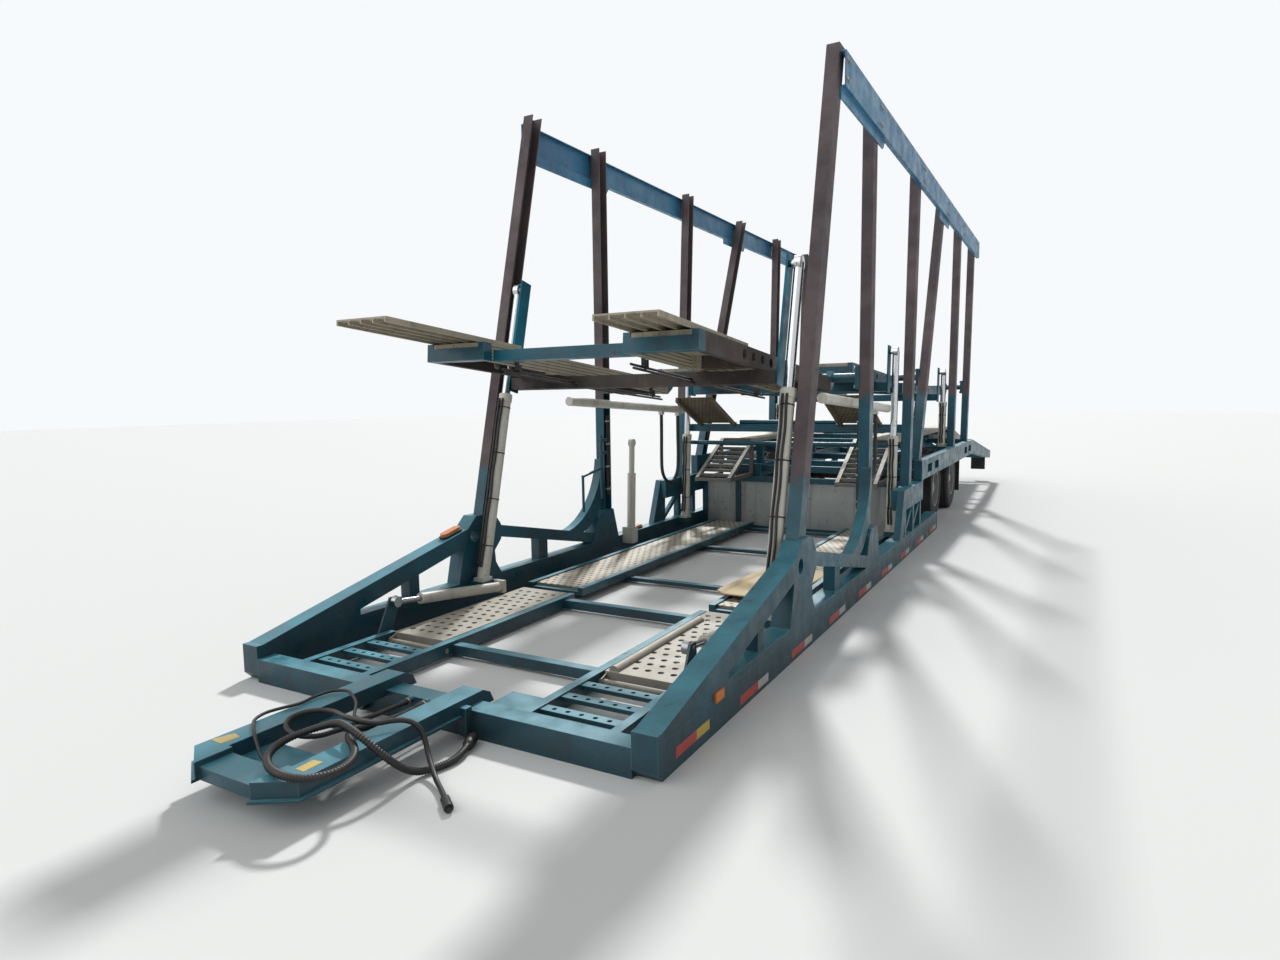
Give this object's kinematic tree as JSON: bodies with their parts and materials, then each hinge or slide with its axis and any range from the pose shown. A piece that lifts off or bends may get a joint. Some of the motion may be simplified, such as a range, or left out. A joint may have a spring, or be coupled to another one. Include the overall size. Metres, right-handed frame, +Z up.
{
  "type": "car transporter trailer",
  "caption": "Two-axle drop-frame car transporter trailer with sloping posts, hydraulic tilting upper decks, perforated tracks and stowed loading ramps.",
  "frame": {"origin": "on the floor below the middle of the trailer's whole length and width", "axes": "+Z up, +Y towards the tail, +X towards the trailer's left side"},
  "size_m": [2.614, 13.47, 3.75],
  "materials": {
    "frame_paint": "worn teal enamel",
    "post_paint": "worn dark teal enamel",
    "track_steel": "worn zinc and faded teal paint",
    "rod_chrome": "polished",
    "cylinder_paint": "faded cream paint",
    "panel_sheet": "dull pale sheet",
    "flap_rubber": "matte",
    "axle_iron": "dirty black paint",
    "rim_steel": "dull silver paint",
    "tyre": "worn",
    "lamp_lens": "clear moulded",
    "hose_rubber": "dusty"
  },
  "bodies": {
    "root": {"axles": "axle_iron", "brackets": "frame_paint", "bulkhead_frame": "frame_paint", "bulkhead_panels": "panel_sheet", "cable_plugs": "hose_rubber", "chassis_beams": "frame_paint", "crank_handle": "frame_paint", "cross_members": "frame_paint", "front_frame": "frame_paint", "hose_loop_left": "hose_rubber", "hose_loop_right": "hose_rubber", "knee_planks": "track_steel", "lamps": "lamp_lens", "lift_barrels": "cylinder_paint", "mudguards": "flap_rubber", "plank_cylinders": "cylinder_paint", "portal_beam": "frame_paint", "posts_left": "post_paint", "posts_right": "post_paint", "rear_planks": "track_steel", "rear_rail_left": "frame_paint", "rear_rail_right": "frame_paint", "short_cylinders": "cylinder_paint", "side_cylinders": "cylinder_paint", "side_frame_left": "frame_paint", "side_frame_right": "frame_paint", "slope_tracks": "track_steel", "tongue_cable": "hose_rubber", "tongue_corrugated": "hose_rubber", "tongue_frame": "frame_paint", "tongue_hose": "hose_rubber", "top_rail_left": "post_paint", "top_rail_right": "post_paint", "well_frame": "frame_paint", "well_planks": "track_steel"},
    "wheel_front_left": {"tyres_front_left": "tyre", "rims_front_left": "rim_steel"},
    "wheel_front_right": {"tyres_front_right": "tyre", "rims_front_right": "rim_steel"},
    "wheel_rear_left": {"tyres_rear_left": "tyre", "rims_rear_left": "rim_steel"},
    "wheel_rear_right": {"tyres_rear_right": "tyre", "rims_rear_right": "rim_steel"},
    "deck_front": {"deck_front_frame": "frame_paint", "deck_front_planks": "track_steel"},
    "deck_front_lifts": {"deck_front_lifts": "rod_chrome"},
    "extension_plank_left": {"extension_plank_left": "track_steel"},
    "extension_plank_right": {"extension_plank_right": "track_steel"},
    "deck_middle": {"deck_middle_frame": "frame_paint", "deck_middle_planks": "track_steel"},
    "deck_middle_lifts": {"deck_middle_lifts": "rod_chrome"},
    "deck_rear": {"deck_rear_frame": "frame_paint", "deck_rear_planks": "track_steel"},
    "deck_rear_lifts": {"deck_rear_lifts": "rod_chrome"},
    "well_plank_left": {"well_plank_left": "track_steel"},
    "plank_rod_left": {"plank_rod_left": "rod_chrome"},
    "tail_ramp_left": {"tail_ramp_left": "track_steel"},
    "well_plank_right": {"well_plank_right": "track_steel"},
    "plank_rod_right": {"plank_rod_right": "rod_chrome"},
    "tail_ramp_right": {"tail_ramp_right": "track_steel"}
  },
  "joints": [
    {"name": "wheel_front_left_spin", "type": "hinge", "parent": "root", "child": "wheel_front_left", "pos_m": [0, 1.535, 0.4], "axis": [1, 0, 0], "continuous": true},
    {"name": "wheel_front_right_spin", "type": "hinge", "parent": "root", "child": "wheel_front_right", "pos_m": [0, 1.535, 0.4], "axis": [1, 0, 0], "continuous": true},
    {"name": "wheel_rear_left_spin", "type": "hinge", "parent": "root", "child": "wheel_rear_left", "pos_m": [0, 2.835, 0.4], "axis": [1, 0, 0], "continuous": true},
    {"name": "wheel_rear_right_spin", "type": "hinge", "parent": "root", "child": "wheel_rear_right", "pos_m": [0, 2.835, 0.4], "axis": [1, 0, 0], "continuous": true},
    {"name": "deck_front_tilt", "type": "hinge", "parent": "root", "child": "deck_front", "pos_m": [0, -2.12141, 1.655], "axis": [-1, 0, 0], "range_deg": [-5, 20]},
    {"name": "deck_front_lift_slide", "type": "slide", "parent": "root", "child": "deck_front_lifts", "axis": [0, 0.2384, 0.9712], "range_m": [-0.1306, 0.5165]},
    {"name": "extension_plank_left_slide", "type": "slide", "parent": "deck_front", "child": "extension_plank_left", "axis": [0, -0.9963, 0.0859], "range_m": [-0.35, 0.45]},
    {"name": "extension_plank_right_slide", "type": "slide", "parent": "deck_front", "child": "extension_plank_right", "axis": [0, -0.9963, 0.0859], "range_m": [-0.7, 0.12]},
    {"name": "deck_middle_tilt", "type": "hinge", "parent": "root", "child": "deck_middle", "pos_m": [0, 0.40431, 1.7], "axis": [-1, 0, 0], "range_deg": [-5, 20]},
    {"name": "deck_middle_lift_slide", "type": "slide", "parent": "root", "child": "deck_middle_lifts", "axis": [0, 0.0674, 0.9977], "range_m": [-0.0819, 0.3216]},
    {"name": "deck_rear_tilt", "type": "hinge", "parent": "root", "child": "deck_rear", "pos_m": [0, 3.85138, 1.62], "axis": [-1, 0, 0], "range_deg": [-2, 9]},
    {"name": "deck_rear_lift_slide", "type": "slide", "parent": "root", "child": "deck_rear_lifts", "axis": [0, 0.0517, 0.9987], "range_m": [-0.0496, 0.2164]},
    {"name": "well_plank_left_tilt", "type": "hinge", "parent": "root", "child": "well_plank_left", "pos_m": [0, -5.015, 0.055], "axis": [1, 0, 0], "range_deg": [0, 12]},
    {"name": "plank_rod_left_slide", "type": "slide", "parent": "root", "child": "plank_rod_left", "axis": [0, -0.9928, 0.1196], "range_m": [-0.001, 0.0482]},
    {"name": "tail_ramp_left_slide", "type": "slide", "parent": "root", "child": "tail_ramp_left", "axis": [0, 0.9862, -0.1657], "range_m": [0, 1.4]},
    {"name": "well_plank_right_tilt", "type": "hinge", "parent": "root", "child": "well_plank_right", "pos_m": [0, -5.015, 0.055], "axis": [1, 0, 0], "range_deg": [0, 12]},
    {"name": "plank_rod_right_slide", "type": "slide", "parent": "root", "child": "plank_rod_right", "axis": [0, -0.9928, 0.1196], "range_m": [-0.001, 0.0482]},
    {"name": "tail_ramp_right_slide", "type": "slide", "parent": "root", "child": "tail_ramp_right", "axis": [0, 0.9862, -0.1657], "range_m": [0, 1.4]}
  ],
  "couplings": [
    {"joint": "deck_front_lift_slide", "follows": "deck_front_tilt", "m_per_rad": 1.4741},
    {"joint": "deck_middle_lift_slide", "follows": "deck_middle_tilt", "m_per_rad": 0.91565},
    {"joint": "deck_rear_lift_slide", "follows": "deck_rear_tilt", "m_per_rad": 1.3647},
    {"joint": "plank_rod_left_slide", "follows": "well_plank_left_tilt", "m_per_rad": 0.22542},
    {"joint": "plank_rod_right_slide", "follows": "well_plank_right_tilt", "m_per_rad": 0.22542}
  ]
}
